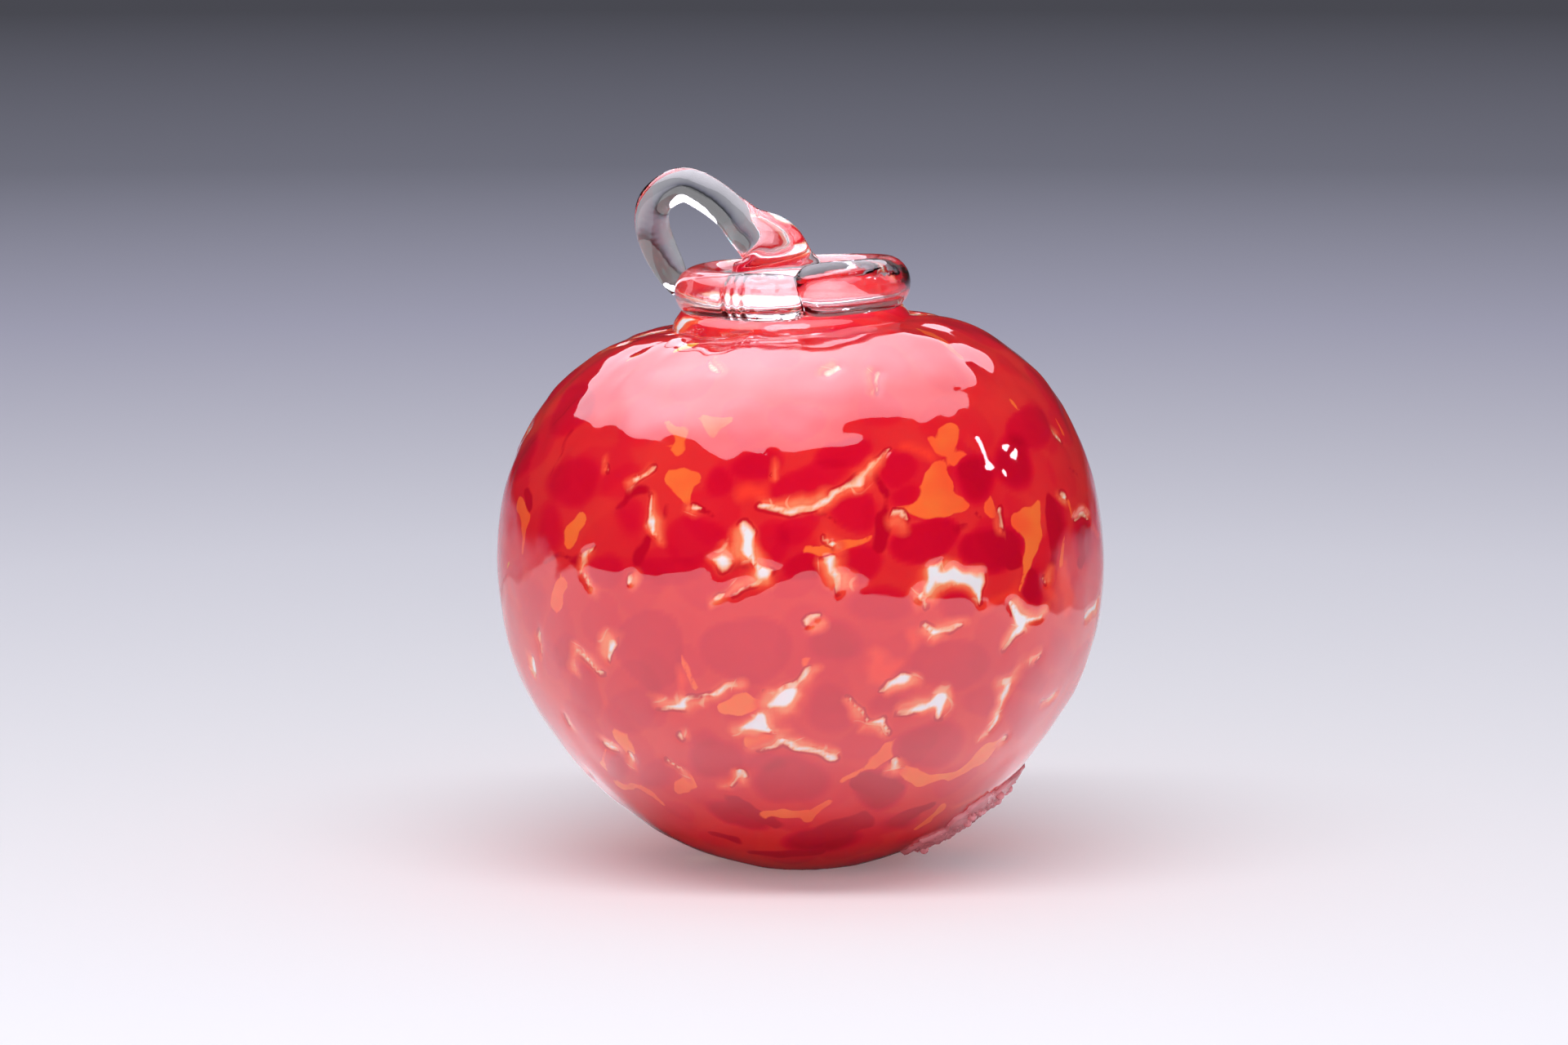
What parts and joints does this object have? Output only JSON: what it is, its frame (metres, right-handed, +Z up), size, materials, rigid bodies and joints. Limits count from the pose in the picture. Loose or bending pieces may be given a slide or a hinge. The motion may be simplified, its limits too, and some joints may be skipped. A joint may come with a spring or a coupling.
{
  "type": "art glass apple",
  "caption": "Hollow blown-glass apple with a red, orange and white chip coat, clear collar, wound clear lip and a looped clear stem that serves as a hanging eye.",
  "frame": {"origin": "centre of the object's box at the height of its resting face", "axes": "+Z up out of the resting face, +X to the right as the picture shows it, the stem leaning towards -X, +Y away from the viewer"},
  "size_m": [0.08, 0.08, 0.0905],
  "materials": {
    "white_core": "opaque white glass, polished",
    "red_frit": "opaque red glass, fire polished",
    "orange_frit": "opaque orange glass, fire polished",
    "yellow_frit": "opaque yellow glass, fire polished",
    "clear_glass": "clear glass, fire polished",
    "rough_glass": "clear glass, rough broken surface"
  },
  "bodies": {
    "root": {"core_bubble": "white_core", "red_frit_coat": "red_frit", "orange_frit": "orange_frit", "yellow_frit": "yellow_frit", "neck_collar": "clear_glass", "lip_wrap": "clear_glass", "stem_seal": "clear_glass", "stem_loop": "clear_glass", "punty_mark": "rough_glass"}
  },
  "joints": []
}
